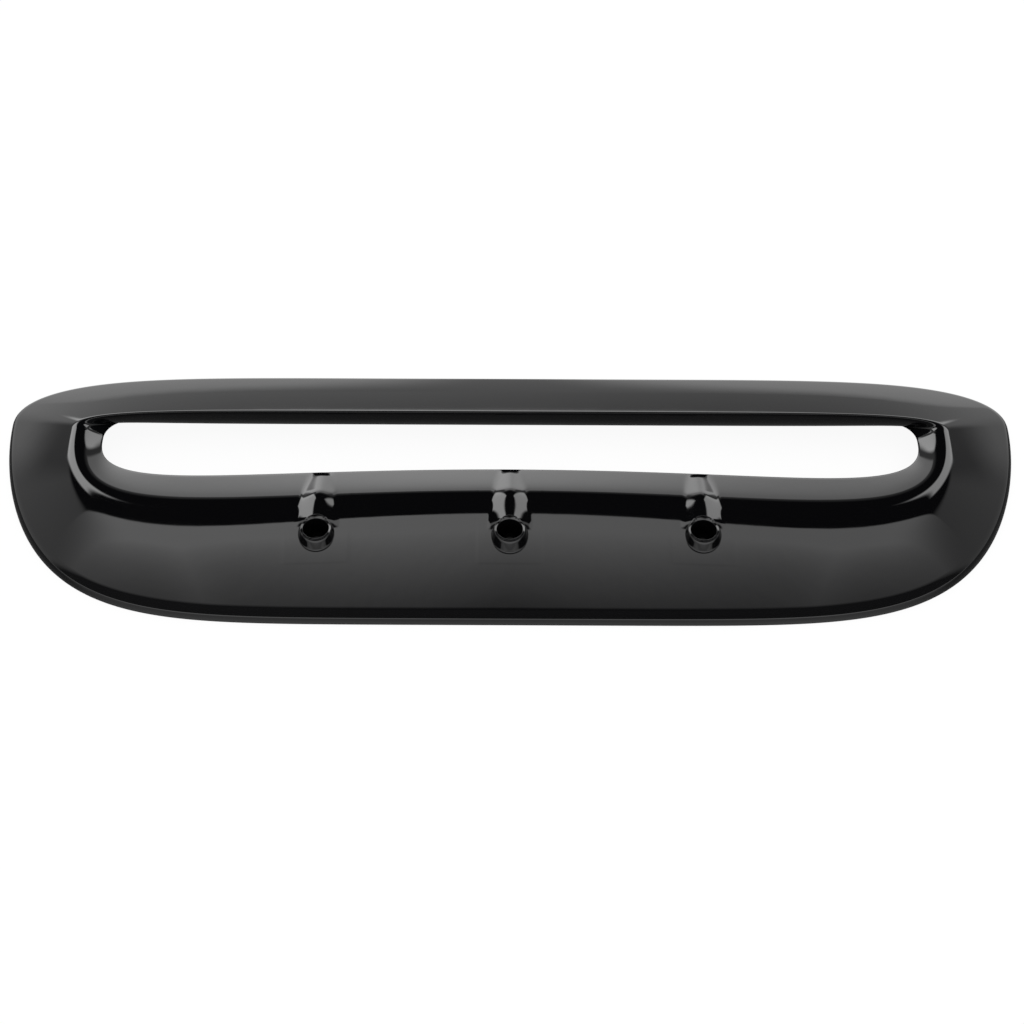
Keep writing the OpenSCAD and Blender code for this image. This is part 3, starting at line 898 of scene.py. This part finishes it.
def floor(colour):
    """A round pale floor under the rim, which glows white to the camera but keeps a soft shadow; reflections
    see only its painted glow, a painted pool of light in front and painted shade under the opening.
    """
    steps = np.linspace(0, 2 * np.pi, 97)[:-1]
    rim = FLOOR_R * np.column_stack([np.cos(steps), np.sin(steps), 0 * steps])
    mesh = bpy.data.meshes.new("floor")
    mesh.from_pydata(rim.tolist(), [], [list(range(len(rim)))])
    obj = bpy.data.objects.new("floor", mesh)
    bpy.context.scene.collection.objects.link(obj)
    material = bpy.data.materials.new("white_paper_with_painted_glow")
    material.use_nodes = True
    tree = material.node_tree
    tree.nodes.clear()
    place = new_node(tree, "ShaderNodeTexCoord").outputs["Object"]
    axis = new_node(tree, "ShaderNodeSeparateXYZ", links={0: place})
    rays = new_node(tree, "ShaderNodeLightPath")
    found = dict(zip("xyz", axis.outputs))
    found.update(camera=rays.outputs["Is Camera Ray"], glossy=rays.outputs["Is Glossy Ray"])
    # Reflections see the floor only as this painted light and painted shade, worked out from the table
    work_out(tree, FLOOR_PAINTED_GLOW, found)
    paper = new_node(tree, "ShaderNodeBsdfDiffuse", {"Color": colour})
    glow = new_node(
        tree, "ShaderNodeEmission", {"Color": (1, 1, 1, 1)}, {"Strength": found["strength"]}
    )
    mix = new_node(
        tree, "ShaderNodeMixShader",
        links={0: found["share"], 1: paper.outputs[0], 2: glow.outputs[0]},
    )
    new_node(tree, "ShaderNodeOutputMaterial", links={"Surface": mix.outputs[0]})
    mesh.materials.append(material)
    return obj


def soft_lamp(power):
    """A broad soft lamp over the floor, which lights it evenly and shows in no reflection."""
    data = bpy.data.lights.new("soft_lamp", "AREA")
    data.shape = "RECTANGLE"
    data.size, data.size_y = LAMP_SIZE
    data.energy = power
    obj = bpy.data.objects.new("soft_lamp", data)
    obj.location = LAMP_PLACE
    obj.visible_camera = obj.visible_glossy = False
    bpy.context.scene.collection.objects.link(obj)
    return obj


def work_out(tree, rows, found):
    """Adds a node for each row of a table and keeps its result in found under the row's name.

    A row holds a name, a kind and its inputs, each a number or the name of an earlier result. The kind
    STEP is a smooth step: an input, where it starts and ends, and its values there. Other kinds are
    operations of the Math node.
    """
    for name, kind, *values in rows:
        plain = {i: v for i, v in enumerate(values) if not isinstance(v, str)}
        links = {i: found[v] for i, v in enumerate(values) if isinstance(v, str)}
        if kind == "STEP":
            settings = {"kind": "ShaderNodeMapRange", "interpolation_type": "SMOOTHSTEP"}
        else:
            settings = {"kind": "ShaderNodeMath", "operation": kind}
        found[name] = new_node(tree, inputs=plain, links=links, **settings).outputs[0]


# How the floor glows, which is painted light on it. Reflections see only this glow: a painted pool of light
# in front of the scoop, painted shade under the opening and a dimmer painted glow behind, where it brightens
# towards the sides; the camera sees white over a share of lit paper.
FLOOR_PAINTED_GLOW = (
    ("wide", "ABSOLUTE", "x"),
    ("near", "STEP", "y", -0.06, -0.09, 0.12, 0.6),
    ("far", "STEP", "y", -0.1, -0.13, 0.0, 1.0),
    ("front", "ADD", "near", "far"),
    ("turn", "ARCTAN2", "wide", "y"),
    ("side", "DEGREES", "turn"),
    ("sides", "STEP", "side", 5.0, 38.0, 0.48, 1.03),
    ("rear", "STEP", "y", 0.05, 0.09, 0.0, 1.0),
    ("behind", "MULTIPLY", "sides", "rear"),
    ("seen", "MAXIMUM", "front", "behind"),
    ("rest", "SUBTRACT", 1.0, "seen"),
    ("strength", "MULTIPLY_ADD", "camera", "rest", "seen"),
    # Glossy rays see pure glow: the painted light and painted shade of the floor
    ("share", "MULTIPLY_ADD", "camera", 0.93, "glossy"),
)

# How the studio glows in the direction x, y, z
STUDIO_GLOW = (
    # The direction as angles in degrees: over the top, up from level, and round from the rear
    ("wide", "ABSOLUTE", "x"),
    ("back", "MULTIPLY", "y", -1.0),
    ("over_turn", "ARCTAN2", "z", "back"),
    ("over", "DEGREES", "over_turn"),
    ("rise_turn", "ARCSINE", "z"),
    ("rise", "DEGREES", "rise_turn"),
    ("side_turn", "ARCTAN2", "wide", "y"),
    ("side", "DEGREES", "side_turn"),
    # The panel overhead, which comes up over 14.5 degrees
    ("lean", "MULTIPLY", "wide", 45.0),
    ("lean_most", "MINIMUM", "lean", 10.0),
    ("turned", "ADD", "over", "lean_most"),
    ("past", "SUBTRACT", "turned", 84.0),
    ("part", "DIVIDE", "past", 14.5),
    ("part_least", "MAXIMUM", "part", 0.0),
    ("share", "MINIMUM", "part_least", 1.0),
    ("ramp", "POWER", "share", 1.3),
    ("fade", "STEP", "wide", 0.38, 0.8, 2.05, 0.62),
    ("kept", "STEP", "over", 103.0, 101.5, 0.0, 1.0),
    ("faded", "MULTIPLY", "ramp", "fade"),
    ("panel", "MULTIPLY", "faded", "kept"),
    # The walls round the rear and the sides, from their low part to their high one
    ("low_rear", "STEP", "side", 5.0, 38.0, 0.48, 1.03),
    ("low_side", "STEP", "side", 52.0, 62.0, 0.0, 0.38),
    ("low", "SUBTRACT", "low_rear", "low_side"),
    ("high", "STEP", "side", 54.0, 64.0, 0.38, 0.62),
    ("climb", "STEP", "rise", 13.0, 22.0, 0.0, 1.0),
    ("higher", "SUBTRACT", "high", "low"),
    ("wall", "MULTIPLY_ADD", "climb", "higher", "low"),
    ("wall_top", "STEP", "side", 55.0, 82.0, 34.0, 50.0),
    ("over_wall", "SUBTRACT", "rise", "wall_top"),
    ("below_top", "STEP", "over_wall", 4.0, -4.0, 0.0, 1.0),
    ("round", "STEP", "side", 108.0, 92.0, 0.0, 1.0),
    ("wall_part", "MULTIPLY", "wall", "below_top"),
    ("wall_kept", "MULTIPLY", "wall_part", "round"),
    # A bright window at the rear, wider and brighter below
    ("window_foot", "STEP", "rise", 6.5, 9.5, 0.0, 1.0),
    ("window_top", "STEP", "rise", 31.0, 29.0, 0.0, 1.0),
    ("window_wide", "STEP", "rise", 19.0, 23.0, 26.0, 17.0),
    ("beside", "SUBTRACT", "side", "window_wide"),
    ("window_side", "STEP", "beside", 2.0, -2.0, 0.0, 1.0),
    ("window_glow", "STEP", "rise", 17.0, 25.0, 2.1, 1.2),
    ("window_1", "MULTIPLY", "window_glow", "window_foot"),
    ("window_2", "MULTIPLY", "window_1", "window_top"),
    ("window", "MULTIPLY", "window_2", "window_side"),
    # Two soft boxes beside it, higher up, which light the cowls' flanks
    ("box_near", "STEP", "side", 23.0, 28.0, 0.0, 1.0),
    ("box_far", "STEP", "side", 54.0, 49.0, 0.0, 4.2),
    ("box_low", "STEP", "rise", 25.0, 29.0, 0.0, 1.0),
    ("box_high", "STEP", "rise", 54.0, 51.0, 0.0, 1.0),
    ("box_1", "MULTIPLY", "box_near", "box_far"),
    ("box_2", "MULTIPLY", "box_1", "box_low"),
    ("boxes", "MULTIPLY", "box_2", "box_high"),
    # All of it over a faint front, a little brighter on the left; only reflections see it, and plain
    # light serves the rest
    ("faint", "STEP", "over", 95.0, 70.0, 0.0, 0.08),
    ("bright", "MAXIMUM", "panel", "wall_kept"),
    ("large", "MAXIMUM", "bright", "faint"),
    ("small", "ADD", "window", "boxes"),
    ("glow", "ADD", "large", "small"),
    ("tint", "STEP", "x", -0.13, 0.13, 1.12, 0.88),
    ("tinted", "MULTIPLY", "glow", "tint"),
    ("extra", "SUBTRACT", "tinted", 1.0),
    ("strength", "MULTIPLY_ADD", "extra", "glossy", 1.0),
)


def surround(scene):
    """The studio round the scoop, as a glow that depends on the direction.

    Over the top runs an angle: 0 is level towards the front, 90 straight up and 180 level towards the
    rear. A soft panel hangs overhead and white walls stand round the rear and the sides, higher at the
    sides. Between them the studio is black, which gives the lip its black band.
    """
    world = bpy.data.worlds.new("studio")
    scene.world = world
    world.use_nodes = True
    tree = world.node_tree
    tree.nodes.clear()
    ray = new_node(tree, "ShaderNodeTexCoord").outputs["Generated"]
    axis = new_node(tree, "ShaderNodeSeparateXYZ", links={0: ray})
    rays = new_node(tree, "ShaderNodeLightPath")
    found = dict(zip("xyz", axis.outputs), glossy=rays.outputs["Is Glossy Ray"])
    work_out(tree, STUDIO_GLOW, found)
    shade = new_node(
        tree, "ShaderNodeBackground", {"Color": (1, 1, 1, 1)}, {"Strength": found["strength"]}
    )
    new_node(tree, "ShaderNodeOutputWorld", links={"Surface": shade.outputs[0]})


class SCOOP_PT_panel(bpy.types.Panel):
    """Lists the steps that build the scoop"""

    bl_label = "Bonnet scoop"
    bl_space_type = "VIEW_3D"
    bl_region_type = "UI"
    bl_category = "Scoop"

    def draw(self, context):
        for step in STEPS:
            self.layout.operator(step.bl_idname)
        for group in GROUPS:
            settings = getattr(context.scene, group)
            box = self.layout.box()
            for name in names_in(settings):
                box.prop(settings, name)


STEPS = (SCOOP_OT_moulding, SCOOP_OT_ribs, SCOOP_OT_gussets, SCOOP_OT_towers, SCOOP_OT_stage)
GROUPS = {
    "scoop_shell": ShellSizes,
    "scoop_sockets": SocketSizes,
    "scoop_underside": UndersideSizes,
    "scoop_look": LookSettings,
}


def register():
    for group, kind in GROUPS.items():
        bpy.utils.register_class(kind)
        setattr(bpy.types.Scene, group, PointerProperty(type=kind))
    for kind in STEPS + (SCOOP_PT_panel,):
        bpy.utils.register_class(kind)


def unregister():
    for kind in (SCOOP_PT_panel,) + STEPS[::-1]:
        bpy.utils.unregister_class(kind)
    for group, kind in GROUPS.items():
        delattr(bpy.types.Scene, group)
        bpy.utils.unregister_class(kind)


def main():
    """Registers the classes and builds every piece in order."""
    register()
    bpy.ops.scoop.moulding()
    bpy.ops.scoop.ribs()
    bpy.ops.scoop.gussets()
    bpy.ops.scoop.towers()
    bpy.ops.scoop.stage()


if __name__ == "__main__":
    main()
